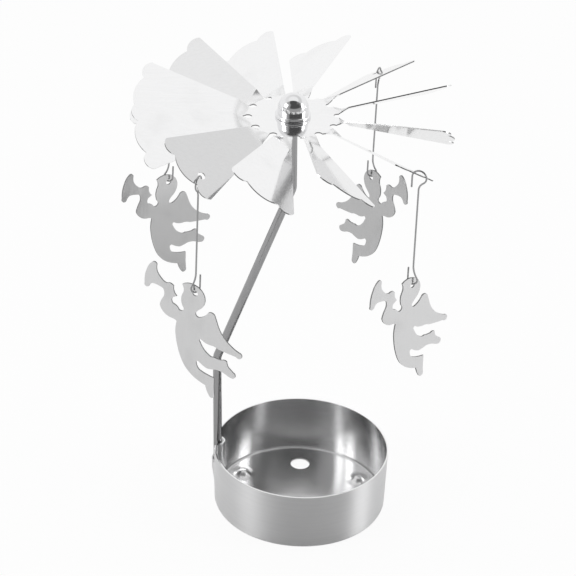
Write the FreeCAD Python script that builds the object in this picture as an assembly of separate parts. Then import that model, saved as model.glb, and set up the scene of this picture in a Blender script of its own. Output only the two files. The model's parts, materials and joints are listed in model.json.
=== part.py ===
import FreeCAD, Part
import math
import os

from FreeCAD import Placement, Rotation, Vector

# Angel chime carousel: a tealight cup, a bent wire mast that stands in the
# cup's wall, a twelve-bladed tin rotor that turns on the mast's point, and
# four tin angels that hang on wire hooks under the rotor.
# Millimetres, +Z up. The origin is the middle of the cup's underside.

# Cup
cup_top_d = 62.0
cup_base_d = 61.0
cup_h = 21.7
cup_wall = 0.5
cup_corner = 0.9
vent_d = 7.0
vent_offset = 19.6
pip_pitch_r = 24.0
pip_r = 2.3
pip_crown_r = 1.1
pip_h = 1.5
pip_angles_deg = (150.0, 27.0, 270.0)

# Socket for the mast, lanced in the cup's wall
mast_azimuth_deg = 176.0
mast_inset = 1.05
socket_half_w = 4.6
socket_clear = 0.1
groove_play = 0.6
slit_z = 14.4
slit_h = 0.7
pouch_foot_z = 4.5
mast_foot_z = 10.5

# Mast
mast_d = 3.0
mast_lean_deg = 1.35
mast_low_leg = 35.6
mast_rise = 68.8
mast_reach = 25.7
mast_bend_r = 6.0
mast_top_leg = 31.6
point_len = 3.4
point_r = 0.2
foot_chamfer = 0.4

# Rotor
blade_count = 12
first_blade_deg = 230.4
rotor_sheet = 0.4
slot_w = 2.6
slot_end_r = 13.5
disc_r = 15.0
twist_end_r = 18.6
corner_reach = 50.7
notch_rise = 1.1
notch_across_share = 0.49
lobe_rise = 2.4
lobe_across_share = 0.743
crown_rise = 3.2
blade_twists_deg = (36.0, 35.0, 36.0, 34.0, 37.0, 33.0, 32.0, 30.0, 32.0, 37.0, 30.0, 34.0)
blade_lifts_deg = (0.5, -1.0, -1.0, -2.5, -2.0, 4.5, -1.0, 1.0, -1.0, 1.0, 3.5, 0.0)
hang_hole_d = 2.7
hang_hole_inset = 2.5
hang_hole_across_share = 0.327

# Hub: a drawn cap riveted through the rotor, with a pivot seat inside
cap_r = 5.15
cap_side_h = 2.9
cap_flange_r = 5.9
cap_flange_h = 1.4
cap_flange_bevel = 0.35
cap_skirt_r = 4.0
cap_bore_r = 3.4
cap_lip_r = 4.9
cap_lip_h = 0.5
seat_low_h = 3.0
seat_top_h = 6.0
dimple_r = 1.6
dimple_depth = 1.6
pivot_clear = 0.03

# Hooks, in the order of the blades that carry them
hook_blades = (0, 3, 6, 9)
hook_names = ("front_left", "front_right", "back_right", "back_left")
hook_wire_d = 0.7
hook_wire_sides = 6
crook_r = 2.4
crook_seat = 0.9
crook_clear = 0.5
crook_bend_deg = 55.0
crook_tail = 4.0
loop_bend_deg = 32.0
hook_drop = 38.0
hook_drop_shares = (1.005, 1.01, 0.992, 0.99)
hook_sways_deg = (1.4, 0.0, -1.9, 1.7)
loop_r = 1.6
loop_tail = 4.6
loop_turns_deg = (55.0, 125.0, 55.0, -55.0)

# Angels, drawn in heads: every outline share is a share of the head's height
angel_head = 10.0
angel_sheet = 0.5
angel_hole_d = 2.0
angel_seat_gap = 0.26
angel_yaws_deg = (-25.9, 42.4, 130.9, 35.9)

# The angel's outline, stroke by stroke round the figure, from the eye in the
# crown where the hook goes through. A stroke is a chain of arcs of three
# points each, and it ends where the next stroke starts.
angel_stroke_shares = (
    # trumpet, top edge of its tube and the hand
    ((-1.43, 0.64), (-1.44, 0.50), (-1.41, 0.38), (-1.32, 0.25), (-1.22, 0.15),
     (-1.13, 0.09), (-1.04, 0.08), (-0.90, 0.10), (-0.80, 0.03)),
    # knuckles and thumb
    ((-0.80, 0.03), (-0.79, -0.15), (-0.68, -0.31)),
    # inside of the forearm and the collar
    ((-0.68, -0.31), (-0.76, -0.36), (-0.82, -0.39), (-0.87, -0.52), (-0.82, -0.63),
     (-0.72, -0.67), (-0.63, -0.74), (-0.50, -0.82), (-0.46, -0.62)),
    # plain front of the head up to the curl
    ((-0.46, -0.62), (-0.51, -0.42), (-0.47, -0.15), (-0.42, 0.02), (-0.48, 0.21)),
    # crown and nape
    ((-0.48, 0.21), (-0.28, 0.305), (0.00, 0.29), (0.27, 0.11), (0.365, -0.22),
     (0.31, -0.40), (0.21, -0.54), (0.12, -0.62), (0.04, -0.71)),
    # the wing's root and its leading edge to the tip
    ((0.04, -0.71), (0.06, -0.85), (0.18, -0.87), (0.35, -0.77), (0.48, -0.61),
     (0.62, -0.56), (0.73, -0.63), (0.79, -0.79), (0.84, -0.94), (1.03, -1.31),
     (1.33, -1.60), (1.50, -1.71), (1.66, -1.78), (1.76, -1.90), (1.56, -1.96)),
    # the wing's feathered lower edge
    ((1.56, -1.96), (1.20, -1.92), (0.90, -1.875), (0.80, -1.83), (0.66, -1.805),
     (0.46, -1.79), (0.24, -1.68)),
    # under the wing and along the upper leg
    ((0.24, -1.68), (0.18, -1.73), (0.21, -1.81), (0.34, -2.04), (0.54, -2.21),
     (0.63, -2.25), (0.73, -2.235), (0.86, -2.26), (1.02, -2.26), (1.13, -2.23), (1.21, -2.26)),
    # upper foot and the calf's underside
    ((1.21, -2.26), (1.23, -2.37), (1.28, -2.47), (1.37, -2.54), (1.45, -2.61),
     (1.53, -2.76), (1.44, -2.84), (1.32, -2.82), (1.22, -2.78), (1.02, -2.70),
     (0.80, -2.69), (0.65, -2.73), (0.50, -2.75), (0.33, -2.68), (0.17, -2.57)),
    # between the legs
    ((0.17, -2.57), (0.10, -2.58), (0.08, -2.67), (0.12, -2.80), (0.21, -2.90),
     (0.46, -2.99), (0.75, -3.04)),
    # lower foot
    ((0.75, -3.04), (0.755, -3.20), (0.75, -3.35), (0.76, -3.55), (0.78, -3.73),
     (0.73, -3.83), (0.58, -3.78), (0.49, -3.61), (0.43, -3.42)),
    # shin and belly
    ((0.43, -3.42), (0.19, -3.335), (-0.04, -3.21), (-0.31, -2.96), (-0.48, -2.68),
     (-0.62, -2.27), (-0.70, -1.84), (-0.715, -1.56), (-0.67, -1.26)),
    # sleeve and elbow
    ((-0.67, -1.26), (-0.77, -1.21), (-0.88, -1.195), (-1.17, -1.06), (-1.31, -0.81),
     (-1.27, -0.67), (-1.20, -0.52), (-1.14, -0.32), (-1.19, -0.16)),
    # underside of the tube and the trumpet's bell
    ((-1.19, -0.16), (-1.38, -0.10), (-1.58, -0.085), (-1.66, -0.14), (-1.71, -0.22),
     (-1.80, -0.28), (-1.88, -0.14), (-1.87, 0.15), (-1.78, 0.45), (-1.70, 0.61),
     (-1.60, 0.71), (-1.50, 0.74), (-1.43, 0.64)),
)

cut_over = 1.0

# Places worked out from the sizes above
cup_top_r = cup_top_d / 2
cup_base_r = cup_base_d / 2
mast_r = mast_d / 2
wire_r = hook_wire_d / 2
up = Vector(0, 0, 1)
blade_step_deg = 360.0 / blade_count
half_step = math.radians(blade_step_deg / 2)
tip_half_w = corner_reach * math.tan(half_step) - slot_w / 2 / math.cos(half_step)
notch_reach = corner_reach + notch_rise
notch_across = tip_half_w * notch_across_share
hang_hole = Vector(corner_reach - hang_hole_inset, tip_half_w * hang_hole_across_share, 0)
socket_spread_deg = math.degrees(socket_half_w / cup_top_r)


def turned_z(degrees):
    return Placement(Vector(), Rotation(up, degrees))


def moved(shape, placement):
    copy = shape.copy()
    copy.Placement = placement.multiply(copy.Placement)
    return copy


def line(a, b):
    return Part.LineSegment(a, b).toShape()


def arc(a, b, c):
    return Part.Arc(a, b, c).toShape()


def swept(edges, radius):
    """A round rod bent along tangent edges."""
    path = Part.Wire(edges)
    start = edges[0].Vertexes[0].Point
    heading = edges[0].tangentAt(edges[0].FirstParameter)
    ring = Part.Wire([Part.makeCircle(radius, start, heading)])
    return path.makePipeShell([ring], True, False)


def arc_walk(start, way, end):
    """The arc that leaves start along way: start, middle and end, with their ways."""
    chord = end - start
    chord_way = Vector(chord).normalize()
    lean = (way + chord_way).normalize()
    middle = start + lean * (chord.Length / 2 / lean.dot(chord_way))
    way_at_end = chord_way * (2 * way.dot(chord_way)) - way
    return [(start, way), (middle, chord_way), (end, way_at_end)]


def meeting_point(start, way_out, end, way_in):
    """Where two arcs meet that lead from one point and way to another."""
    across = end - start
    ways = across.dot(way_out + way_in)
    spread = 2 * (1 - way_out.dot(way_in))
    reach = (math.sqrt(ways ** 2 + spread * across.dot(across)) - ways) / spread
    return (start + end) * 0.5 + (way_out - way_in) * (reach / 2)


def bent_edges(corners, bend_r):
    """Straight legs joined by tangent bends of one radius."""
    edges = []
    leg_start = corners[0]
    for before, here, after in zip(corners, corners[1:], corners[2:]):
        way_in = (here - before).normalize()
        way_out = (after - here).normalize()
        turn = way_in.getAngle(way_out)
        setback = bend_r * math.tan(turn / 2)
        bend_in = here - way_in * setback
        bend_out = here + way_out * setback
        to_middle = (way_out - way_in).normalize()
        crest = here + to_middle * (bend_r / math.cos(turn / 2) - bend_r)
        edges.append(line(leg_start, bend_in))
        edges.append(arc(bend_in, crest, bend_out))
        leg_start = bend_out
    edges.append(line(leg_start, corners[-1]))
    return edges


# The mast's own frame: the rim of the cup where the mast crosses it, with the
# mast's plane turned to its azimuth and the whole mast leaning outwards.
mast_frame = turned_z(mast_azimuth_deg - 180).multiply(
    Placement(Vector(-(cup_top_r - mast_inset), 0, cup_h), Rotation(Vector(0, 1, 0), -mast_lean_deg)))
mast_tip = mast_frame.multVec(Vector(mast_reach, 0, mast_low_leg + mast_rise + mast_top_leg))

# The rotor's frame: the middle of its sheet, with the pivot seat over the
# mast's point. The rotor hangs level.
dimple_half = math.atan(dimple_r / dimple_depth)
tip_to_apex = (point_r + pivot_clear) / math.sin(dimple_half) - point_r
pivot_h = seat_low_h + dimple_depth
rotor_origin = mast_tip + up * (tip_to_apex - pivot_h - rotor_sheet / 2)
rotor_frame = Placement(rotor_origin, Rotation())
cap_frame = Placement(rotor_origin + up * (rotor_sheet / 2), Rotation())


def make_cup():
    """A drawn cup with a bevelled foot, a lanced socket, three pips and a vent."""
    shell = cup_body(0).cut(cup_body(cup_wall))
    shell = shell.cut(socket_window()).fuse(make_groove()).fuse(make_pouch())
    for angle in pip_angles_deg:
        shell = raise_pip(shell, angle)
    vent = Part.makeCylinder(vent_d / 2, cup_wall + 2 * cut_over, Vector(0, vent_offset, -cut_over))
    return shell.cut(vent).removeSplitter()


def cup_body(inset):
    """The cup's outside, or its inside where inset is the wall."""
    corner = cup_corner - inset * math.tan(math.radians(22.5))
    step = corner * (1 - math.cos(math.radians(45)))
    foot_r = wall_r(inset) - inset
    profile = Part.makePolygon([
        Vector(0, 0, inset), Vector(foot_r - corner, 0, inset),
        Vector(foot_r - step, 0, inset + step), Vector(wall_r(inset + corner) - inset, 0, inset + corner),
        Vector(wall_r(cup_h) - inset, 0, cup_h), Vector(0, 0, cup_h), Vector(0, 0, inset)])
    return Part.Face(profile).revolve(Vector(), up, 360)


def raise_pip(shell, angle):
    """Press one locating pip up out of the floor, hollow underneath."""
    a = math.radians(angle)
    foot = Vector(pip_pitch_r * math.cos(a), pip_pitch_r * math.sin(a), 0)
    bump = Part.makeCone(pip_r, pip_crown_r, pip_h, foot + up * cup_wall)
    dent = Part.makeCone(pip_r, pip_crown_r, pip_h, foot)
    return shell.fuse(bump).cut(dent)


# The socket is lanced from the wall: above the slit the wall is pushed in
# behind the mast, below it the wall is pushed out into a pouch in front of it.
def wall_r(z):
    """The cup's outer radius at a height."""
    return cup_base_r + (cup_top_r - cup_base_r) * z / cup_h


def mast_out(z):
    """How far the mast's centre line lies from the cup's axis at a height."""
    return cup_top_r - mast_inset - (cup_h - z) * math.tan(math.radians(mast_lean_deg))


def wall_band(z, depth):
    """The wall's section over the socket's width, swelled out by a depth."""
    start, way_out = wall_point(z, -socket_spread_deg, 0)
    crest, way_over = wall_point(z, 0, depth)
    end, way_in = wall_point(z, socket_spread_deg, 0)
    rising = meeting_point(start, way_out, crest, way_over)
    falling = meeting_point(crest, way_over, end, way_in)
    outer = []
    inner = []
    here, way = start, way_out
    for goal in (rising, crest, falling, end):
        walk = arc_walk(here, way, goal)
        outer.append(arc(*[point for point, heading in walk]))
        inner.append(arc(*[point - heading.cross(up) * cup_wall for point, heading in walk]))
        here, way = walk[-1]
    first_side = line(inner[0].Vertexes[0].Point, start)
    last_side = line(here, inner[-1].Vertexes[-1].Point)
    return Part.Wire([first_side] + outer + [last_side] + inner[::-1])


def wall_point(z, offset_deg, depth):
    """A point of the outer wall by the socket, and the way round the wall there."""
    place = math.radians(mast_azimuth_deg + offset_deg)
    outwards = Vector(math.cos(place), math.sin(place), 0)
    return outwards * (wall_r(z) + depth) + up * z, up.cross(outwards)


def socket_window():
    """The piece of plain wall that the socket takes the place of."""
    wedge = Part.makeCylinder(2 * cup_top_r, cup_h, up * pouch_foot_z, up, 2 * socket_spread_deg)
    return moved(wedge, turned_z(mast_azimuth_deg - socket_spread_deg))


def make_groove():
    """The wall above the slit, pushed in behind the mast."""
    depths = []
    for z in (slit_z + slit_h, cup_h):
        depths.append((z, mast_out(z) - mast_r - groove_play - wall_r(z)))
    return Part.makeLoft([wall_band(z, depth) for z, depth in depths], True, True)


def make_pouch():
    """The wall below the slit, pushed out round the mast's foot."""
    sections = [wall_band(pouch_foot_z, 0)]
    for z in (mast_foot_z, slit_z):
        depth = mast_out(z) + mast_r + socket_clear + cup_wall - wall_r(z)
        sections.append(wall_band(z, depth))
    return Part.makeLoft(sections, True, True)


def make_mast():
    """One rod, bent twice, its foot bevelled and its top turned to a point."""
    foot = Vector(0, 0, mast_foot_z - cup_h)
    elbow = Vector(0, 0, mast_low_leg)
    shoulder = Vector(mast_reach, 0, mast_low_leg + mast_rise)
    neck = shoulder + up * (mast_top_leg - point_len)
    rod = swept(bent_edges([foot, elbow, shoulder, neck], mast_bend_r), mast_r)
    point = Part.makeCone(mast_r, point_r, point_len - point_r, neck)
    nib = Part.makeCone(point_r, point_r / 2, point_r, neck + up * (point_len - point_r))
    bevel = Part.makeCone(mast_r - foot_chamfer, mast_r, foot_chamfer, foot)
    blank = Part.makeCylinder(mast_r + cut_over, foot_chamfer, foot)
    rod = rod.cut(blank.cut(bevel)).fuse(point).fuse(nib)
    return moved(rod.removeSplitter(), mast_frame)


def blade_half_width(reach):
    """Half the blade's width between two slots of even width."""
    return reach * math.tan(half_step) - slot_w / 2 / math.cos(half_step)


def blade_placement(index):
    """Aim, lift and twist of one blade, about the middle of its root."""
    aim = turned_z(first_blade_deg + blade_step_deg * index)
    to_root = Placement(Vector(disc_r, 0, 0), Rotation(Vector(0, 1, 0), -blade_lifts_deg[index]))
    back = Placement(Vector(-disc_r, 0, 0), Rotation())
    twist = Placement(Vector(), Rotation(Vector(1, 0, 0), -blade_twists_deg[index]))
    return aim.multiply(to_root).multiply(back).multiply(twist)


def blade_outline():
    """The flat blade: straight sides and a tip of two lobes beside a crown."""
    root = twist_end_r
    side = blade_half_width(root)
    corner = tip_half_w
    lobe_reach = corner_reach + lobe_rise
    lobe_across = tip_half_w * lobe_across_share
    right = []
    right.append(line(Vector(root, side, 0), Vector(corner_reach, corner, 0)))
    right.append(arc(Vector(corner_reach, corner, 0), Vector(lobe_reach, lobe_across, 0),
                     Vector(notch_reach, notch_across, 0)))
    crown = arc(Vector(notch_reach, notch_across, 0), Vector(corner_reach + crown_rise, 0, 0),
                Vector(notch_reach, -notch_across, 0))
    left = []
    left.append(arc(Vector(notch_reach, -notch_across, 0), Vector(lobe_reach, -lobe_across, 0),
                    Vector(corner_reach, -corner, 0)))
    left.append(line(Vector(corner_reach, -corner, 0), Vector(root, -side, 0)))
    foot = line(Vector(root, -side, 0), Vector(root, side, 0))
    return Part.Wire(right + [crown] + left + [foot])


def sheet_section(reach):
    """The sheet's end face across a blade at one reach, as a closed wire."""
    y = blade_half_width(reach)
    z = rotor_sheet / 2
    ends = [Vector(reach, -y, -z), Vector(reach, y, -z), Vector(reach, y, z), Vector(reach, -y, z)]
    return Part.makePolygon(ends + ends[:1])


def make_blade(index):
    """A flat blade, twisted to its pitch through the short neck at its root."""
    pitch = blade_placement(index)
    flat = Part.Face(blade_outline()).extrude(up * rotor_sheet)
    flat.translate(up * (-rotor_sheet / 2))
    if index in hook_blades:
        hole = Part.makeCylinder(hang_hole_d / 2, rotor_sheet + 2 * cut_over, hang_hole - up * cut_over)
        flat = flat.cut(hole)
    aim = turned_z(first_blade_deg + blade_step_deg * index)
    root_end = moved(sheet_section(disc_r), aim)
    blade_end = moved(sheet_section(twist_end_r), pitch)
    neck = Part.makeLoft([root_end, blade_end], True, True)
    return [neck, moved(flat, pitch)]


def make_disc():
    """The flat middle: a twelve-sided plate, slotted between the blades."""
    corners = []
    corner_r = disc_r / math.cos(half_step)
    for index in range(blade_count):
        a = math.radians(first_blade_deg + blade_step_deg * index) + half_step
        corners.append(Vector(corner_r * math.cos(a), corner_r * math.sin(a), -rotor_sheet / 2))
    plate = Part.Face(Part.makePolygon(corners + corners[:1])).extrude(up * rotor_sheet)
    round_end = Vector(slot_end_r + slot_w / 2, 0, -cut_over)
    slot = Part.makeCylinder(slot_w / 2, 2 * cut_over, round_end)
    run = Part.makeBox(corner_r, slot_w, 2 * cut_over, round_end - Vector(0, slot_w / 2, 0))
    slot = slot.fuse(run)
    for index in range(blade_count):
        plate = plate.cut(moved(slot, turned_z(first_blade_deg + blade_step_deg * (index + 0.5))))
    return plate.cut(Part.makeCylinder(cap_skirt_r, 2 * cut_over, Vector(0, 0, -cut_over)))


def make_rotor():
    """One stamped and twisted sheet."""
    pieces = []
    for index in range(blade_count):
        pieces += make_blade(index)
    sheet = make_disc().multiFuse(pieces)
    return moved(sheet.removeSplitter(), rotor_frame)


def make_cap():
    """A domed cap with a bevelled flange, its skirt riveted over under the sheet."""
    under = -rotor_sheet - cap_lip_h
    lip_bevel = cap_lip_h / 2
    bevel = cap_flange_bevel
    side_top = Vector(cap_r, 0, cap_side_h)
    crest = Vector(0, 0, cap_side_h + cap_r)
    shoulder = Vector(cap_r * math.cos(math.pi / 4), 0, cap_side_h + cap_r * math.sin(math.pi / 4))
    corners = [
        (0, seat_top_h), (cap_bore_r, seat_top_h), (cap_bore_r, under),
        (cap_lip_r - lip_bevel, under), (cap_lip_r, under + lip_bevel),
        (cap_lip_r - lip_bevel, -rotor_sheet), (cap_skirt_r, -rotor_sheet), (cap_skirt_r, 0),
        (cap_flange_r - bevel, 0), (cap_flange_r, bevel), (cap_flange_r, cap_flange_h - bevel),
        (cap_flange_r - bevel, cap_flange_h), (cap_r, cap_flange_h)]
    stepped = Part.makePolygon([crest] + [Vector(r, 0, z) for r, z in corners] + [side_top])
    profile = Part.Wire(stepped.Edges + [arc(side_top, shoulder, crest)])
    return moved(Part.Face(profile).revolve(Vector(), up, 360), cap_frame)


def make_pivot_seat():
    """A plug pressed into the cap, dimpled below for the mast's point."""
    apex = seat_low_h + dimple_depth
    profile = Part.makePolygon([
        Vector(dimple_r, 0, seat_low_h), Vector(cap_bore_r, 0, seat_low_h),
        Vector(cap_bore_r, 0, seat_top_h), Vector(0, 0, seat_top_h),
        Vector(0, 0, apex), Vector(dimple_r, 0, seat_low_h)])
    solid = Part.Face(profile).revolve(Vector(), up, 360)
    return moved(solid, cap_frame)


def hook_frame(number):
    """Middle of a hook's crook and the level way that the crook points."""
    pitch = rotor_frame.multiply(blade_placement(hook_blades[number]))
    hole = pitch.multVec(hang_hole)
    seat = pitch.multVec(Vector(notch_reach + wire_r + crook_clear, notch_across, 0))
    strip = (seat - hole).normalize()
    outwards = Vector(strip.x, strip.y, 0).normalize()
    strip_normal = strip.cross(up.cross(outwards))
    half_chord = math.sqrt(crook_r ** 2 - crook_seat ** 2)
    return seat - strip * half_chord - strip_normal * crook_seat, outwards


def hook_sway(number):
    """The lean of one hook at rest, about the axis through its crook."""
    middle, outwards = hook_frame(number)
    return Placement(Vector(), Rotation(outwards.cross(up), hook_sways_deg[number]), middle)


def wire_ring(place, way, side):
    """The wire's section square to its way, with one corner towards a side."""
    across = way.cross(side)
    corners = []
    for index in range(hook_wire_sides):
        turn = 2 * math.pi * index / hook_wire_sides
        corners.append(place + side * (wire_r * math.cos(turn)) + across * (wire_r * math.sin(turn)))
    return Part.makePolygon(corners + corners[:1])


def wire_run(start, end, side):
    """A straight run of wire."""
    way = (end - start).normalize()
    return Part.Face(wire_ring(start, way, side)).extrude(end - start)


def wire_bend(start, way, middle, axis, turn_deg):
    """A bend of the wire round an axis square to its plane."""
    return Part.Face(wire_ring(start, way, axis)).revolve(middle, axis, turn_deg)


def wire_eye(middle, way, radius, tail, bend_deg, upright):
    """A hook end: a tail, most of a ring, and the bend back to the middle line.

    upright is +1 for the crook at the top and -1 for the loop at the bottom.
    The tail is on the side away from way. The last value is where the bend
    comes out on the middle line."""
    bend = math.radians(bend_deg)
    back_r = radius * math.cos(bend) / (1 - math.cos(bend))
    rise = up * upright
    axis = rise.cross(way)
    ring_start = middle - way * radius
    ring_end = middle + way * (radius * math.cos(bend)) - rise * (radius * math.sin(bend))
    heading = way * (-math.sin(bend)) - rise * math.cos(bend)
    back_middle = middle + (ring_end - middle) * ((radius + back_r) / radius)
    foot = middle - rise * ((radius + back_r) * math.sin(bend))
    solids = [wire_run(ring_start - rise * tail, ring_start, axis),
              wire_bend(ring_start, rise, middle, axis, 180 + bend_deg),
              wire_bend(ring_end, heading, back_middle, axis * -1, bend_deg)]
    return solids, foot, axis


def level_way(degrees):
    return turned_z(degrees).multVec(Vector(1, 0, 0))


def loop_middle(number):
    """Middle of a hook's loop before the hook leans."""
    return hook_frame(number)[0] - up * (hook_drop * hook_drop_shares[number])


def make_hook(number):
    """A wire hook: a crook over the blade's tip and a loop for the angel."""
    middle, outwards = hook_frame(number)
    crook, crook_foot, crook_axis = wire_eye(middle, outwards, crook_r, crook_tail, crook_bend_deg, 1)
    tail_way = level_way(angel_yaws_deg[number] + loop_turns_deg[number])
    loop, loop_head, loop_axis = wire_eye(loop_middle(number), tail_way * -1, loop_r, loop_tail,
                                          loop_bend_deg, -1)
    shank = Part.makeLoft([wire_ring(crook_foot, up * -1, crook_axis),
                           wire_ring(loop_head, up * -1, nearest_corner(loop_axis, crook_axis))], True, True)
    return moved(shank.multiFuse(crook + loop).removeSplitter(), hook_sway(number))


def nearest_corner(side, goal):
    """The corner of a wire section, one towards side, that lies nearest to a goal."""
    turns = [turned_z(360.0 * index / hook_wire_sides).multVec(side) for index in range(hook_wire_sides)]
    return max(turns, key=goal.dot)


def angel_frame(number):
    """The angel's eye, hung on the bottom of its hook's loop."""
    loop_bottom = hook_sway(number).multVec(loop_middle(number) - up * loop_r)
    eye_drop = angel_hole_d / 2 - wire_r - angel_seat_gap
    facing = Rotation(up, angel_yaws_deg[number])
    return Placement(loop_bottom - up * eye_drop, facing)


def make_angel(number):
    """A stamped silhouette of an angel with a trumpet."""
    edges = []
    for stroke in angel_stroke_shares:
        points = [Vector(x, 0, z) * angel_head for x, z in stroke]
        for first in range(0, len(points) - 1, 2):
            edges.append(arc(*points[first:first + 3]))
    figure = Part.Face(Part.Wire(edges)).extrude(Vector(0, angel_sheet, 0))
    figure.translate(Vector(0, -angel_sheet / 2, 0))
    eye = Part.makeCylinder(angel_hole_d / 2, angel_sheet + 2 * cut_over,
                            Vector(0, -angel_sheet / 2 - cut_over, 0), Vector(0, 1, 0))
    return moved(figure.cut(eye), angel_frame(number))


def main():
    os.makedirs("parts", exist_ok=True)
    nodes = {
        "cup": make_cup(),
        "mast": make_mast(),
        "rotor": make_rotor(),
        "hub_cap": make_cap(),
        "pivot_seat": make_pivot_seat(),
    }
    for number, name in enumerate(hook_names):
        nodes["hook_" + name] = make_hook(number)
        nodes["angel_" + name] = make_angel(number)
    for name, shape in nodes.items():
        shape.exportStep("parts/" + name + ".step")
        box = shape.BoundBox
        print(name, shape.isValid(), len(shape.Solids), round(shape.Volume, 2),
              [round(v, 2) for v in (box.XMin, box.YMin, box.ZMin, box.XMax, box.YMax, box.ZMax)])
    print("mast tip", [round(v, 2) for v in mast_tip], "rotor", [round(v, 2) for v in rotor_origin])


main()
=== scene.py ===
import json
import math

import bpy
from mathutils import Matrix, Vector


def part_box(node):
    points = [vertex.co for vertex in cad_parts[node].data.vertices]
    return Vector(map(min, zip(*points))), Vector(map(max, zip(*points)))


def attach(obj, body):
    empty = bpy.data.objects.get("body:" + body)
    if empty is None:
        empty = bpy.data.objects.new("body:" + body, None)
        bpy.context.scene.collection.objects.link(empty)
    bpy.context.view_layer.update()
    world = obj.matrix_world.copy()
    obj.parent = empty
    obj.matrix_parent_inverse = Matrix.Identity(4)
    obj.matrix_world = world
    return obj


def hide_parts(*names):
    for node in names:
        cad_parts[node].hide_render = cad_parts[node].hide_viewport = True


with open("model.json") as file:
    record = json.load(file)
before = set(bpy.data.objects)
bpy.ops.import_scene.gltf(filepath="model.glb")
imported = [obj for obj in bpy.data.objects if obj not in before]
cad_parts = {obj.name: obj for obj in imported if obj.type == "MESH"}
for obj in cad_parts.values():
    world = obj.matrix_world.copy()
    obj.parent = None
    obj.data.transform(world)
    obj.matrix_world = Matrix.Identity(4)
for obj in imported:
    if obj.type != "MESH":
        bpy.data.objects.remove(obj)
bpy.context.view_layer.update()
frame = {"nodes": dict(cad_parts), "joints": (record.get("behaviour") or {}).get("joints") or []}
nodes = frame["nodes"]
joints = {joint["name"]: joint for joint in frame["joints"]}

MM = 0.001

# A tuple below that is named for an edge, foot, top, shade, level, glow or twist
# is a smooth step: where it is 0, where it is 1, and then the two values that
# it has there where they aren't 0 and 1.

# The camera: a long lens, above and in front of the cup, rolled a little.
CAMERA_TARGET = Vector((-6.887, 0, 87.638)) * MM
CAMERA_DISTANCE = 877.45 * MM
CAMERA_RAISE = math.radians(31.395)
CAMERA_ROLL = math.radians(2.209)
CAMERA_LENS = 160.0
CAMERA_SENSOR = 36.0
CAMERA_NEAR = 0.01
CAMERA_FAR = 20.0

# The cup, for the finish that follows its wall and its rim.
_, CUP_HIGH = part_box("cup")
CUP_TOP_R = CUP_HIGH[0]
CUP_BASE_R = CUP_TOP_R - 0.5 * MM
CUP_H = CUP_HIGH[2]
CUP_SKIN_EDGE = (0.2 * MM, 0.3 * MM)
CUP_UNDERSIDE_EDGE = (0.1 * MM, 0.3 * MM)
CUP_RIM_EDGE = (CUP_H - 0.12 * MM, CUP_H - 0.04 * MM)
# Painted shade on the cup's inside: the heights where it starts and where it is full, and how
# much it takes off the tone there.
CUP_INSIDE_PAINTED_SHADE = (3.0 * MM, 19.0 * MM, -0.01, 0.22)
CUP_TONE = 0.65
CUP_RIM_TONE = 0.9
CUP_ROUGHNESS = 0.44
CUP_INSIDE_ROUGHNESS = 0.17
CUP_RIM_ROUGHNESS = 0.12
BRUSH_LENGTH = 1.2 * MM
LONG_BRUSH_LENGTH = 0.6 * MM

# The pips pressed up from the cup's floor. A step is a radius and a height in mm.
PIP_TURNS = (math.radians(27), math.radians(150), math.radians(270))
PIP_PITCH_R = 24.0 * MM
PIP_FOOT_R = 4.7 * MM
PIP_FLOOR_Z = 0.5 * MM
PIP_ROOT_Z = 0.3 * MM
PIP_SIDES = 48
PIP_SMOOTH = math.radians(40)
PIP_STEPS = (
    (4.1, 0.05), (3.6, 0.12), (3.1, 0.23), (2.7, 0.38), (2.4, 0.56), (2.1, 0.80), (1.85, 1.02),
    (1.6, 1.23), (1.35, 1.41), (1.1, 1.53), (0.8, 1.61), (0.45, 1.645), (0.15, 1.65),
)

# The rotor, for the finish that follows its blades from the disc outwards.
HUB_LOW, HUB_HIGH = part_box("hub_cap")
ROTOR_X = (HUB_LOW[0] + HUB_HIGH[0]) / 2
ROTOR_Y = (HUB_LOW[1] + HUB_HIGH[1]) / 2
DISC_R = 15.5 * MM
BLADE_PITCH = math.radians(34)
BLADE_TWIST = (DISC_R, DISC_R + 3.0 * MM, 0.0, BLADE_PITCH)
BLADE_FLAT_EDGE = (0.40, 0.55)
TWIST_END_R = 18.6 * MM
HAZE_INNER_EDGE = (DISC_R - 0.6 * MM, DISC_R + 0.4 * MM)
HAZE_OUTER_EDGE = (TWIST_END_R + 2.5 * MM, TWIST_END_R)
HAZE_ROUGHNESS = 0.24
ROTOR_ROUGHNESS = 0.05
ROTOR_TONE = 0.86

# The hub cap: a dome on a side, a rolled flange, and a skirt riveted over below.
CAP_R = 5.15 * MM
CAP_SIDE_H = 2.9 * MM
CAP_FLANGE_R = 5.9 * MM
CAP_FLANGE_H = 1.4 * MM
CAP_FLANGE_ROUND = 0.55 * MM
CAP_SKIRT_R = 4.0 * MM
CAP_LIP_R = 4.9 * MM
CAP_LIP_H = 0.5 * MM
CAP_LIP_ROUND = 0.22 * MM
CAP_BORE_R = 3.4 * MM
CAP_SIDES = 96
CAP_RINGS = 48
CAP_SMOOTH = math.radians(40)
SEAT_TOP_H = 6.0 * MM

# The hooks' wire, with a small bevel at each end.
WIRE_R = 0.29 * MM
WIRE_SIDES = 16
WIRE_END_SHARE = 0.72
WIRE_END_H = WIRE_R * 0.28
WIRE_SMOOTH = math.radians(50)
WIRE_WELD = 0.001 * MM
CROOK_R = 2.4 * MM
CROOK_TAIL = 4.0 * MM
CROOK_BEND = math.radians(55)
CROOK_STEPS = 26
CROOK_BACK_STEPS = 8
LOOP_R = 1.6 * MM
LOOP_TAIL = 4.6 * MM
LOOP_BEND = math.radians(32)
LOOP_STEPS = 22
LOOP_BACK_STEPS = 6
LOOP_TURNS = {
    "front_left": math.radians(55),
    "front_right": math.radians(125),
    "back_right": math.radians(55),
    "back_left": math.radians(-55),
}
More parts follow.
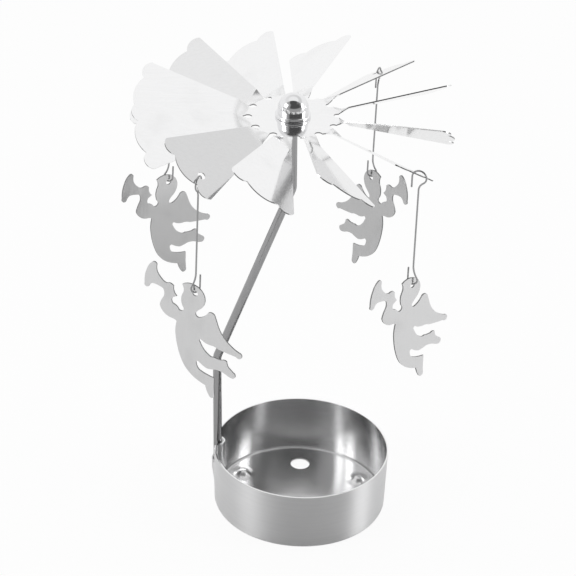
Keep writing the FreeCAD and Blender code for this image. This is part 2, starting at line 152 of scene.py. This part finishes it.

# Each angel's tone, set apart from the others to paint how bright its reflection is, and how much
# painted shade darkens its arm.
ANGEL_PAINTED_TONES = {
    "angel_front_left": (0.70, 0.02),
    "angel_front_right": (0.79, 0.03),
    "angel_back_right": (0.54, 0.02),
    "angel_back_left": (0.66, 0.22),
}
ANGEL_FLAT_EDGE = (0.75, 0.9)
# Where the painted shade falls: shares of the width at the arm's side, and depths below the top
# where the lower body darkens, by half as much.
ANGEL_ARM_SHARES = (0.42, 0.22)
ANGEL_FOOT_DEPTHS = (8.0 * MM, 18.0 * MM)
ANGEL_FOOT_PAINTED_SHADE = 0.5
ANGEL_ROUGHNESS = 0.16
ANGEL_PATCHES = 0.05

# The studio, by the way that a ray leaves it: x right, y back and z up. Angles
# go round from the front towards the right.
SKY_LEVEL = 0.99
BELT_FOOT = (0.52, 0.66)
BELT_TOP = (0.90, 0.80)
BELT_SHADE = (-0.8, 0.6, 0.10, 0.24)
SIDE_FOOT = (0.02, 0.16)
SIDE_TOP = (0.94, 0.86)
SIDE_FRONT_EDGE = (-0.05, -0.22)
SIDE_LEVEL = (-0.2, 0.5, 0.42, 0.2)
DIM_MIDDLE = math.radians(16)
DIM_EDGE = (math.radians(56), math.radians(34))
DIM_LEVEL = (0.26, 0.42, 0.36, 0.08)
OVERHEAD_FOOT = (0.70, 0.82)
OVERHEAD_FRONT_EDGE = (-0.08, -0.18)
OVERHEAD_SIDE_EDGE = (0.50, 0.34)
STRIP_MIDDLE = math.radians(79)
STRIP_EDGE = (math.radians(14), math.radians(4))
STRIP_TOP = (0.42, 0.26)
STRIP_LEVEL = 2.6

# The floor: the share of it that glows white to the camera, and the share that
# does so in the metal, behind the object.
FLOOR_SIZE = 6.0
FLOOR_TONE = 0.9
FLOOR_ROUGHNESS = 0.9
FLOOR_SEEN_GLOW = 0.93
FLOOR_BACK_GLOW = (0.02, 0.25, 0.0, 0.75)

# The lamps: a name, a place, the sides and the power of each.
LAMP_TARGET = (0.0, 0.0, 80 * MM)
LAMPS = (
    ("soft_box_left", (-1.1, -0.5, 0.75), (0.6, 0.6), 4.0),
    ("soft_box_right", (1.1, -0.1, 0.6), (0.36, 0.42), 2.0),
)


def set_camera():
    data = bpy.data.cameras.new("camera")
    data.lens = CAMERA_LENS
    data.sensor_width = CAMERA_SENSOR
    data.clip_start = CAMERA_NEAR
    data.clip_end = CAMERA_FAR
    camera = bpy.data.objects.new("camera", data)
    bpy.context.scene.collection.objects.link(camera)
    back = Vector((0, -math.cos(CAMERA_RAISE), math.sin(CAMERA_RAISE)))
    level_up = Vector((0, math.sin(CAMERA_RAISE), math.cos(CAMERA_RAISE)))
    level_right = Vector((1, 0, 0))
    right = level_right * math.cos(CAMERA_ROLL) + level_up * math.sin(CAMERA_ROLL)
    up = level_up * math.cos(CAMERA_ROLL) - level_right * math.sin(CAMERA_ROLL)
    place = Matrix((right, up, back)).transposed().to_4x4()
    place.translation = CAMERA_TARGET + back * CAMERA_DISTANCE
    camera.matrix_world = place
    bpy.context.scene.camera = camera


class Graph:
    """A short way to write the nodes of a material or of the studio."""

    def __init__(self, tree):
        self.tree = tree

    def add(self, kind, settings=None, **inputs):
        node = self.tree.nodes.new(kind)
        for key, value in (settings or {}).items():
            setattr(node, key, value)
        for key, value in inputs.items():
            self.feed(node.inputs[key], value)
        return node

    def feed(self, socket, value):
        if isinstance(value, bpy.types.NodeSocket):
            self.tree.links.new(value, socket)
        else:
            socket.default_value = value

    def math(self, operation, a, b=0.0, c=0.0):
        node = self.add("ShaderNodeMath", {"operation": operation})
        for socket, value in zip(node.inputs, (a, b, c)):
            self.feed(socket, value)
        return node.outputs[0]

    def plus(self, a, b):
        return self.math("ADD", a, b)

    def minus(self, a, b):
        return self.math("SUBTRACT", a, b)

    def times(self, a, b):
        return self.math("MULTIPLY", a, b)

    def larger(self, a, b):
        return self.math("MAXIMUM", a, b)

    def unsigned(self, value):
        return self.math("ABSOLUTE", value)

    def line(self, value, slope, start):
        """A value times a slope, from a start."""
        return self.math("MULTIPLY_ADD", value, slope, start)

    def radius(self, x, y):
        return self.math("SQRT", self.plus(self.times(x, x), self.times(y, y)))

    def band(self, value, low, high, out_low=0.0, out_high=1.0):
        """A smooth step of a value from out_low at low to out_high at high."""
        node = self.add("ShaderNodeMapRange", {"interpolation_type": "SMOOTHSTEP"})
        for socket, setting in zip(node.inputs, (value, low, high, out_low, out_high)):
            self.feed(socket, setting)
        return node.outputs[0]

    def mix(self, factor, a, b):
        """A colour between two colours."""
        node = self.add("ShaderNodeMix", {"data_type": "RGBA"})
        self.feed(node.inputs[0], factor)
        self.feed(node.inputs[6], a)
        self.feed(node.inputs[7], b)
        return node.outputs[2]

    def blend(self, factor, a, b):
        """A number between two numbers."""
        node = self.add("ShaderNodeMix", {"data_type": "FLOAT"})
        self.feed(node.inputs[0], factor)
        self.feed(node.inputs[2], a)
        self.feed(node.inputs[3], b)
        return node.outputs[0]

    def noise(self, vector, scale, detail, roughness=0.55):
        node = self.add("ShaderNodeTexNoise", Vector=vector, Scale=scale, Detail=detail,
                        Roughness=roughness)
        return node.outputs[0]

    def stretched(self, vector, scale, turn=(0.0, 0.0, 0.0), place=(0.0, 0.0, 0.0)):
        node = self.add("ShaderNodeMapping", Vector=vector, Location=place, Rotation=turn,
                        Scale=scale)
        return node.outputs[0]

    def dot(self, a, b):
        node = self.add("ShaderNodeVectorMath", {"operation": "DOT_PRODUCT"})
        self.feed(node.inputs[0], a)
        self.feed(node.inputs[1], b)
        return node.outputs[1]

    def joined(self, x, y, z):
        return self.add("ShaderNodeCombineXYZ", X=x, Y=y, Z=z).outputs[0]

    def split(self, vector):
        return self.add("ShaderNodeSeparateXYZ", Vector=vector).outputs

    def steel(self, tone, blue):
        """A grey of one tone, with its blue a little stronger."""
        return self.joined(tone, tone, self.times(tone, blue))


def metal(name, anisotropic=0.0):
    """A metal, its shader, the graph for its finish and its coordinates."""
    material = bpy.data.materials.new(name)
    material.use_nodes = True
    shader = material.node_tree.nodes["Principled BSDF"]
    shader.inputs["Metallic"].default_value = 1.0
    shader.inputs["Anisotropic"].default_value = anisotropic
    graph = Graph(material.node_tree)
    coords = graph.add("ShaderNodeTexCoord").outputs
    return material, shader, graph, coords


def finish(graph, shader, color, roughness, height, depth):
    """Colour, roughness and a fine relief into the shader."""
    graph.feed(shader.inputs["Base Color"], color)
    graph.feed(shader.inputs["Roughness"], roughness)
    bump = graph.add("ShaderNodeBump", Strength=1.0, Distance=depth, Height=height)
    graph.feed(shader.inputs["Normal"], bump.outputs[0])


def brush_round(graph, shader):
    """Brushing that follows the turn about the upright axis."""
    tangent = graph.add("ShaderNodeTangent", {"direction_type": "RADIAL", "axis": "Z"})
    graph.feed(shader.inputs["Tangent"], tangent.outputs[0])


def place_from_hub(graph, place):
    """x, y and z from the rotor's axis."""
    return graph.split(graph.stretched(place, (1.0, 1.0, 1.0), place=(-ROTOR_X, -ROTOR_Y, 0.0)))


def cup_steel():
    """Pressed steel: brushed outside, satin inside with painted shade near its top, a bright cut
    rim.
    """
    material, shader, graph, coords = metal("cup_steel", anisotropic=0.9)
    place = coords["Object"]
    x, y, z = graph.split(place)
    radius = graph.radius(x, y)
    angle = graph.math("ARCTAN2", y, x)
    wall = graph.line(z, slope=(CUP_TOP_R - CUP_BASE_R) / CUP_H, start=CUP_BASE_R)
    inside = graph.band(graph.minus(wall, radius), *CUP_SKIN_EDGE)
    inside = graph.times(inside, graph.band(z, *CUP_UNDERSIDE_EDGE))
    rim = graph.band(z, *CUP_RIM_EDGE)

    around = graph.joined(graph.times(angle, BRUSH_LENGTH), radius, z)
    brushed = graph.noise(around, scale=2600.0, detail=6.0, roughness=0.7)
    long_around = graph.joined(graph.times(angle, LONG_BRUSH_LENGTH), radius, z)
    long_brushed = graph.noise(long_around, scale=900.0, detail=3.0)
    cloudy = graph.noise(place, scale=45.0, detail=3.0)
    fine = graph.noise(place, scale=5200.0, detail=2.0)

    tone = graph.line(brushed, slope=0.08, start=CUP_TONE)
    tone = graph.plus(tone, graph.times(long_brushed, 0.05))
    tone = graph.plus(tone, graph.times(cloudy, 0.06))
    # Painted shade: the inside wall is darker towards its top.
    tone = graph.minus(tone, graph.times(inside, graph.band(z, *CUP_INSIDE_PAINTED_SHADE)))
    tone = graph.larger(tone, graph.times(rim, CUP_RIM_TONE))
    color = graph.steel(tone, blue=1.005)

    rough = graph.line(brushed, slope=0.14, start=CUP_ROUGHNESS)
    rough = graph.blend(inside, rough, graph.line(cloudy, slope=0.10, start=CUP_INSIDE_ROUGHNESS))
    rough = graph.blend(rim, rough, CUP_RIM_ROUGHNESS)
    satin = graph.line(fine, slope=0.25, start=graph.times(brushed, 0.3))
    relief = graph.blend(inside, brushed, satin)
    brush_round(graph, shader)
    shader.inputs["Anisotropic Rotation"].default_value = 0.25
    finish(graph, shader, color, rough, relief, depth=0.006 * MM)
    return material


def drawn_steel(name, tone, spread, roughness, scale, along):
    """Drawn wire or rod: fine draw lines along its length and dull patches."""
    material, shader, graph, coords = metal(name, anisotropic=0.5)
    place = coords["Object"]
    lines = graph.noise(graph.stretched(place, (1.0, 1.0, along)), scale, detail=5.0,
                        roughness=0.6)
    broad = graph.noise(graph.stretched(place, (1.0, 1.0, along * 2)), scale * 0.3, detail=2.0)
    dull = graph.noise(place, scale=90.0, detail=4.0)
    value = graph.line(lines, slope=spread, start=tone)
    value = graph.plus(value, graph.times(broad, spread * 0.6))
    value = graph.minus(value, graph.band(dull, 0.6, 0.8, out_high=0.06))
    rough = graph.line(lines, slope=0.12, start=roughness)
    brush_round(graph, shader)
    finish(graph, shader, graph.steel(value, blue=1.01), rough, lines, depth=0.0015 * MM)
    return material


def cut_sheet(graph, shader, place, flat, tone, grain_scale, grain_along, roughness, patches):
    """Polished sheet where flat is 1, and its sheared edge where flat is 0."""
    grain = graph.noise(graph.stretched(place, grain_along), grain_scale, detail=5.0,
                        roughness=0.65)
    smear = graph.noise(place, scale=70.0, detail=3.0)
    shear = graph.noise(graph.stretched(place, (1.0, 1.0, 0.25)), scale=3800.0, detail=3.0)
    face = graph.line(grain, slope=0.08, start=tone)
    face = graph.minus(face, graph.band(smear, 0.52, 0.75, out_high=patches))
    edge = graph.line(shear, slope=0.16, start=0.14)
    smooth = graph.line(grain, slope=0.07, start=roughness)
    smooth = graph.plus(smooth, graph.band(smear, 0.5, 0.8, out_high=0.05))
    relief = graph.blend(flat, graph.times(shear, 3.0), graph.times(grain, 0.5))
    color = graph.steel(graph.blend(flat, edge, face), blue=1.004)
    finish(graph, shader, color, graph.blend(flat, 0.38, smooth), relief, depth=0.003 * MM)


def rotor_steel():
    """Bright rolled sheet, hazed where each blade is twisted off the disc.

    A face is told from the cut edge by the pitch that the blades have there.
    """
    material, shader, graph, coords = metal("rotor_steel")
    place, normal = coords["Object"], coords["Normal"]
    x, y, _ = place_from_hub(graph, place)
    radius = graph.radius(x, y)
    pitch = graph.band(radius, *BLADE_TWIST)
    tilt = graph.math("SINE", pitch)
    level = graph.math("COSINE", pitch)
    side_x = graph.times(tilt, graph.math("DIVIDE", y, radius))
    side_y = graph.times(tilt, graph.math("DIVIDE", x, radius))
    blade_way = graph.joined(graph.times(side_x, -1.0), side_y, level)
    other_way = graph.joined(side_x, graph.times(side_y, -1.0), level)
    facing = graph.larger(graph.unsigned(graph.dot(normal, blade_way)),
                          graph.unsigned(graph.dot(normal, other_way)))
    flat = graph.band(facing, *BLADE_FLAT_EDGE)
    twisted = graph.times(graph.band(radius, *HAZE_INNER_EDGE),
                          graph.band(radius, *HAZE_OUTER_EDGE))
    roughness = graph.line(twisted, slope=HAZE_ROUGHNESS, start=ROTOR_ROUGHNESS)
    cut_sheet(graph, shader, place, flat, ROTOR_TONE, grain_scale=1500.0,
              grain_along=(0.06, 1.0, 1.0), roughness=roughness, patches=0.03)
    return material


def angel_steel(name, flat_way, tone, painted_arm_shade):
    """Bright sheet with a faint upright grain, a darker sheared edge, and painted shade on its
    arm and lower body.
    """
    material, shader, graph, coords = metal(name.replace("angel_", "angel_steel_"))
    place, normal = coords["Object"], coords["Normal"]
    flat = graph.band(graph.unsigned(graph.dot(normal, flat_way)), *ANGEL_FLAT_EDGE)
    low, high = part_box(name)
    x, _, z = graph.split(place)
    arm = graph.band(x, *[low[0] + (high[0] - low[0]) * share for share in ANGEL_ARM_SHARES])
    streaks = graph.noise(graph.stretched(place, (1.0, 1.0, 0.3)), scale=260.0, detail=2.0)
    arm = graph.times(arm, graph.band(streaks, 0.35, 0.65, out_low=0.3))
    foot = graph.band(z, *[high[2] - depth for depth in ANGEL_FOOT_DEPTHS])
    # Painted shade: the arm and the lower body are darkened in the colour.
    shade = graph.larger(arm, graph.times(foot, ANGEL_FOOT_PAINTED_SHADE))
    shaded = graph.minus(tone, graph.times(shade, painted_arm_shade))
    cut_sheet(graph, shader, place, flat, shaded, grain_scale=2200.0,
              grain_along=(1.0, 1.0, 0.05), roughness=ANGEL_ROUGHNESS, patches=ANGEL_PATCHES)
    return material


def hub_chrome():
    """Plated cap: a clear mirror with hairlines and a few dull rubs."""
    material, shader, graph, coords = metal("hub_chrome")
    place = coords["Object"]
    hairline_place = graph.stretched(place, (1.0, 0.05, 1.0), turn=(0.0, 0.0, 0.6))
    hairlines = graph.noise(hairline_place, scale=3000.0, detail=3.0)
    rubs = graph.noise(place, scale=260.0, detail=4.0)
    color = graph.steel(graph.line(hairlines, slope=0.04, start=0.80), blue=1.01)
    rough = graph.plus(graph.line(hairlines, slope=0.03, start=0.03),
                       graph.band(rubs, 0.55, 0.8, out_high=0.08))
    finish(graph, shader, color, rough, hairlines, depth=0.0008 * MM)
    return material


def seat_brass():
    """Turned brass: fine rings round the seat's axis, and tarnish."""
    material, shader, graph, coords = metal("seat_brass", anisotropic=0.4)
    place = coords["Object"]
    x, y, z = place_from_hub(graph, place)
    rings = graph.noise(graph.joined(graph.radius(x, y), 0.0, z), scale=3600.0, detail=3.0)
    tarnish = graph.band(graph.noise(place, scale=500.0, detail=4.0), 0.4, 0.75)
    color = graph.mix(tarnish, (0.78, 0.58, 0.28, 1.0), (0.52, 0.36, 0.16, 1.0))
    rough = graph.line(rings, slope=0.15, start=0.18)
    finish(graph, shader, color, rough, rings, depth=0.004 * MM)
    return material


def end_piece(name, smooth_angle):
    """Close a piece: named, at the origin, and smooth but for its sharp corners."""
    bpy.ops.mesh.select_all(action="SELECT")
    bpy.ops.mesh.normals_make_consistent(inside=False)
    bpy.ops.object.mode_set(mode="OBJECT")
    piece = bpy.context.object
    bpy.ops.object.transform_apply(location=True, rotation=True, scale=True)
    piece.name = name
    piece.data.name = name
    bpy.ops.object.shade_smooth_by_angle(angle=smooth_angle)
    bpy.ops.object.select_all(action="DESELECT")
    return piece


def select_edges(holds_vertex, holds_edge):
    """Select the edges whose ends pass one test and that pass another."""
    bpy.ops.mesh.select_all(action="DESELECT")
    bpy.ops.object.mode_set(mode="OBJECT")
    piece = bpy.context.object
    vertices = piece.data.vertices
    held = {vertex.index for vertex in vertices if holds_vertex(piece.matrix_world @ vertex.co)}
    for edge in piece.data.edges:
        low, high = [vertices[index].co for index in edge.vertices]
        edge.select = set(edge.vertices) <= held and holds_edge(low, high)
    bpy.ops.object.mode_set(mode="EDIT")


def select_ring(middle, way):
    """Select the wire's end ring that lies about a place, square to a way."""
    select_edges(lambda place: abs((place - middle).dot(way)) < WIRE_R * 0.05,
                 lambda low, high: True)


def select_round(middle, radius):
    """Select the level edges that run round the hub at one radius."""
    near = 0.01 * MM

    def at_radius(place):
        offset = place - middle
        return abs(math.hypot(offset.x, offset.y) - radius) < near

    select_edges(at_radius, lambda low, high: abs(low.z - high.z) < near)


def push_wire(run):
    """Draw the wire on from its selected end, straight."""
    bpy.ops.mesh.extrude_edges_move(TRANSFORM_OT_translate={"value": run})


def spin_wire(middle, axis, turn, steps):
    """Bend the wire on from its selected end, round an axis."""
    bpy.ops.mesh.spin(steps=steps, angle=-turn, center=middle, axis=axis)


def bend_eye(middle, way, rise, radius, bend):
    """The end of the shank at an eye, the middle of its back bend and its axis."""
    back_r = radius * math.cos(bend) / (1 - math.cos(bend))
    axis = rise.cross(way)
    ring_end = middle + way * (radius * math.cos(bend)) - rise * (radius * math.sin(bend))
    back_middle = middle + (ring_end - middle) * ((radius + back_r) / radius)
    foot = middle - rise * ((radius + back_r) * math.sin(bend))
    return foot, back_middle, axis


def shape_hook(name, side):
    """A round wire with its crook, shank and loop, drawn from one end to the other."""
    bpy.ops.object.select_all(action="DESELECT")
    crook_joint = joints["hook_" + side + "_swing"]
    loop_joint = joints["angel_" + side + "_swing"]
    crook = Vector(crook_joint["pos_m"])
    bottom = Vector(loop_joint["pos_m"])
    up = (crook - bottom).normalized()
    outwards = up.cross(Vector(crook_joint["axis"])).normalized()
    level = Vector(loop_joint["axis"]).cross(Vector((0, 0, 1))).normalized()
    tail_way = Matrix.Rotation(LOOP_TURNS[side], 3, "Z") @ level
    tail_way = (tail_way - up * tail_way.dot(up)).normalized()
    loop = bottom + up * LOOP_R
    top_foot, top_back, top_axis = bend_eye(crook, outwards, up, CROOK_R, CROOK_BEND)
    low_foot, low_back, low_axis = bend_eye(loop, tail_way * -1, up * -1, LOOP_R, LOOP_BEND)

    tail_end = crook - outwards * CROOK_R - up * CROOK_TAIL
    bevel_end = tail_end + up * WIRE_END_H
    bpy.ops.mesh.primitive_circle_add(vertices=WIRE_SIDES, radius=WIRE_R * WIRE_END_SHARE,
                                      fill_type="NGON", location=tail_end,
                                      rotation=up.to_track_quat("Z", "Y").to_euler())
    bpy.ops.object.mode_set(mode="EDIT")
    bpy.ops.mesh.select_mode(type="EDGE")
    bpy.ops.mesh.select_all(action="SELECT")
    bpy.ops.mesh.extrude_region_move(TRANSFORM_OT_translate={"value": up * WIRE_END_H})
    bpy.ops.transform.resize(value=(1 / WIRE_END_SHARE,) * 3, center_override=bevel_end)
    bpy.ops.mesh.delete(type="ONLY_FACE")
    bpy.ops.mesh.select_mode(type="EDGE")
    select_ring(bevel_end, up)
    push_wire(up * (CROOK_TAIL - WIRE_END_H))
    spin_wire(crook, top_axis, math.pi + CROOK_BEND, CROOK_STEPS)
    spin_wire(top_back, top_axis * -1, CROOK_BEND, CROOK_BACK_STEPS)
    push_wire(low_foot - top_foot)
    spin_wire(low_back, low_axis, LOOP_BEND, LOOP_BACK_STEPS)
    spin_wire(loop, low_axis * -1, math.pi + LOOP_BEND, LOOP_STEPS)
    push_wire(up * (LOOP_TAIL - WIRE_END_H))
    push_wire(up * WIRE_END_H)
    tip = loop + tail_way * LOOP_R + up * LOOP_TAIL
    bpy.ops.transform.resize(value=(WIRE_END_SHARE,) * 3, center_override=tip)
    bpy.ops.mesh.edge_face_add()
    bpy.ops.mesh.select_all(action="SELECT")
    bpy.ops.mesh.remove_doubles(threshold=WIRE_WELD)
    return end_piece(name, WIRE_SMOOTH)


def shape_pip(name, turn):
    """A pip pressed up from the cup's floor, with a drawn foot and a round crown."""
    bpy.ops.object.select_all(action="DESELECT")
    x, y = PIP_PITCH_R * math.cos(turn), PIP_PITCH_R * math.sin(turn)
    bpy.ops.mesh.primitive_circle_add(vertices=PIP_SIDES, radius=PIP_FOOT_R, fill_type="NGON",
                                      location=(x, y, PIP_ROOT_Z))
    bpy.ops.object.mode_set(mode="EDIT")
    bpy.ops.mesh.select_mode(type="FACE")
    bpy.ops.mesh.select_all(action="SELECT")
    to_floor = (0, 0, PIP_FLOOR_Z - PIP_ROOT_Z)
    bpy.ops.mesh.extrude_region_move(TRANSFORM_OT_translate={"value": to_floor})
    outer, height = PIP_FOOT_R, 0.0
    for radius, rise in PIP_STEPS:
        bpy.ops.mesh.inset(thickness=0, depth=0)
        share = radius * MM / outer
        centre = (x, y, PIP_FLOOR_Z + height)
        bpy.ops.transform.resize(value=(share, share, 1), center_override=centre)
        bpy.ops.transform.translate(value=(0, 0, rise * MM - height))
        outer, height = radius * MM, rise * MM
    return end_piece(name, PIP_SMOOTH)


def step_ring(centre, rise, scale):
    """Draw the open ring on: up or down by a rise, and in or out by a scale."""
    bpy.ops.mesh.extrude_edges_move(TRANSFORM_OT_translate={"value": (0, 0, rise)})
    if scale != 1:
        bpy.ops.transform.resize(value=(scale, scale, 1), center_override=centre)


def shape_hub_cap():
    """The cap, drawn down ring by ring from the half of a ball that is its dome."""
    bpy.ops.object.select_all(action="DESELECT")
    foot = Vector((ROTOR_X, ROTOR_Y, HUB_HIGH[2] - CAP_R - CAP_SIDE_H))
    dome_middle = foot + Vector((0, 0, CAP_SIDE_H))
    bpy.ops.mesh.primitive_uv_sphere_add(segments=CAP_SIDES, ring_count=CAP_RINGS, radius=CAP_R,
                                         location=dome_middle)
    bpy.ops.object.mode_set(mode="EDIT")
    bpy.ops.mesh.select_mode(type="EDGE")
    bpy.ops.mesh.select_all(action="SELECT")
    bpy.ops.mesh.bisect(plane_co=dome_middle, plane_no=(0, 0, -1), clear_outer=True)
    bpy.ops.mesh.select_all(action="DESELECT")
    bpy.ops.mesh.select_non_manifold(extend=False, use_wire=False, use_multi_face=False,
                                     use_non_contiguous=False, use_verts=False)
    under = HUB_LOW[2] - foot.z
    sheet = -under - CAP_LIP_H
    for rise, scale in (
        (CAP_FLANGE_H - CAP_SIDE_H, 1),
        (0, CAP_FLANGE_R / CAP_R),
        (-CAP_FLANGE_H, 1),
        (0, CAP_SKIRT_R / CAP_FLANGE_R),
        (-sheet, 1),
        (0, CAP_LIP_R / CAP_SKIRT_R),
        (-CAP_LIP_H, 1),
        (0, CAP_BORE_R / CAP_LIP_R),
        (SEAT_TOP_H - under, 1),
    ):
        step_ring(foot, rise, scale)
    bpy.ops.mesh.edge_face_add()
    for radius, offset, segments in (
        (CAP_FLANGE_R, CAP_FLANGE_ROUND, 6),
        (CAP_LIP_R, CAP_LIP_ROUND, 5),
    ):
        select_round(foot, radius)
        bpy.ops.mesh.bevel(offset=offset, segments=segments, affect="EDGES", clamp_overlap=True)
    return end_piece("domed_hub_cap", CAP_SMOOTH)


def face_way(node):
    """The way that a flat piece faces: the normal of its largest facet."""
    largest = max(node.data.polygons, key=lambda polygon: polygon.area)
    return tuple(largest.normal)


def pick_rays(graph):
    """Two masks: rays from the camera or through glass, and rays off metal."""
    rays = graph.add("ShaderNodeLightPath").outputs
    seen = graph.larger(rays["Is Camera Ray"], rays["Is Transmission Ray"])
    return seen, rays["Is Glossy Ray"]


def set_world():
    """A white studio to the camera. Metal sees it with a grey belt, a side
    shade, a dim side behind the camera that reaches overhead, and a bright
    strip at the right."""
    world = bpy.data.worlds.new("studio")
    bpy.context.scene.world = world
    world.use_nodes = True
    tree = world.node_tree
    graph = Graph(tree)
    seen, glossy = pick_rays(graph)
    x, y, z = graph.split(graph.add("ShaderNodeTexCoord").outputs["Generated"])
    turn = graph.math("ARCTAN2", x, graph.times(y, -1.0))

    belt = graph.times(graph.band(z, *BELT_FOOT), graph.band(z, *BELT_TOP))
    value = graph.minus(SKY_LEVEL, graph.times(belt, graph.band(x, *BELT_SHADE)))

    side = graph.times(graph.band(z, *SIDE_FOOT), graph.band(y, *SIDE_FRONT_EDGE))
    side = graph.times(graph.times(side, graph.band(z, *SIDE_TOP)), glossy)
    value = graph.blend(side, value, graph.band(x, *SIDE_LEVEL))

    from_dim = graph.unsigned(graph.minus(turn, DIM_MIDDLE))
    overhead = graph.times(graph.band(y, *OVERHEAD_FRONT_EDGE),
                           graph.band(graph.unsigned(x), *OVERHEAD_SIDE_EDGE))
    dim = graph.blend(graph.band(z, *OVERHEAD_FOOT), graph.band(from_dim, *DIM_EDGE), overhead)
    value = graph.blend(dim, value, graph.band(z, *DIM_LEVEL))

    from_strip = graph.unsigned(graph.minus(turn, STRIP_MIDDLE))
    strip = graph.times(graph.band(from_strip, *STRIP_EDGE), graph.band(z, *STRIP_TOP))
    value = graph.blend(strip, value, STRIP_LEVEL)

    value = graph.larger(value, seen)
    background = tree.nodes["Background"]
    graph.feed(background.inputs["Color"], graph.joined(value, value, value))
    background.inputs["Strength"].default_value = 1.0


def lay_floor():
    """A plain pale floor that keeps a soft shadow."""
    bpy.ops.object.select_all(action="DESELECT")
    bpy.ops.mesh.primitive_plane_add(size=FLOOR_SIZE, location=(0, 0, 0))
    floor = bpy.context.object
    floor.name = "floor"
    material = bpy.data.materials.new("pale_floor")
    material.use_nodes = True
    tree = material.node_tree
    graph = Graph(tree)
    shader = tree.nodes["Principled BSDF"]
    shader.inputs["Base Color"].default_value = (FLOOR_TONE, FLOOR_TONE, FLOOR_TONE, 1.0)
    shader.inputs["Roughness"].default_value = FLOOR_ROUGHNESS
    shader.inputs["Specular IOR Level"].default_value = 0.0
    seen, glossy = pick_rays(graph)
    glow = graph.add("ShaderNodeEmission", Color=(1.0, 1.0, 1.0, 1.0), Strength=1.0)
    _, y, _ = graph.split(graph.add("ShaderNodeTexCoord").outputs["Object"])
    behind = graph.times(glossy, graph.band(y, *FLOOR_BACK_GLOW))
    mixed = graph.add("ShaderNodeMixShader", Fac=graph.line(seen, FLOOR_SEEN_GLOW, behind))
    graph.feed(mixed.inputs[1], shader.outputs[0])
    graph.feed(mixed.inputs[2], glow.outputs[0])
    graph.feed(tree.nodes["Material Output"].inputs["Surface"], mixed.outputs[0])
    floor.data.materials.append(material)


def hang_lamp(name, place, sides, power):
    """A soft box: an area lamp that faces the middle of the object."""
    data = bpy.data.lights.new(name, "AREA")
    data.shape = "RECTANGLE"
    data.size, data.size_y = sides
    data.energy = power
    lamp = bpy.data.objects.new(name, data)
    bpy.context.scene.collection.objects.link(lamp)
    away = (Vector(place) - Vector(LAMP_TARGET)).normalized()
    lamp.matrix_world = away.to_track_quat("Z", "Y").to_matrix().to_4x4()
    lamp.matrix_world.translation = Vector(place)


bpy.context.scene.view_settings.view_transform = "Standard"
set_camera()
set_world()
lay_floor()
for lamp in LAMPS:
    hang_lamp(*lamp)

looks = {
    "cup": cup_steel(),
    "mast": drawn_steel("rod_steel", tone=0.31, spread=0.08, roughness=0.09, scale=1400.0,
                        along=0.02),
    "rotor": rotor_steel(),
    "hub_cap": hub_chrome(),
    "pivot_seat": seat_brass(),
    "hook": drawn_steel("hook_wire", tone=0.26, spread=0.14, roughness=0.22, scale=2600.0,
                        along=0.05),
}
for name, node in nodes.items():
    if name in ANGEL_PAINTED_TONES:
        look = angel_steel(name, face_way(node), *ANGEL_PAINTED_TONES[name])
    else:
        look = looks.get(name) or looks[name.split("_")[0]]
    node.data.materials.clear()
    node.data.materials.append(look)

for number, turn in enumerate(PIP_TURNS):
    pip = shape_pip("pressed_pip_" + str(number + 1), turn)
    pip.data.materials.append(looks["cup"])
    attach(pip, "cup")
cap = shape_hub_cap()
cap.data.materials.append(looks["hub_cap"])
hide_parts("hub_cap")
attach(cap, "rotor")
for side in LOOP_TURNS:
    hook = shape_hook("wire_hook_" + side, side)
    hook.data.materials.append(looks["hook"])
    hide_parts("hook_" + side)
    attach(hook, "hook_" + side)
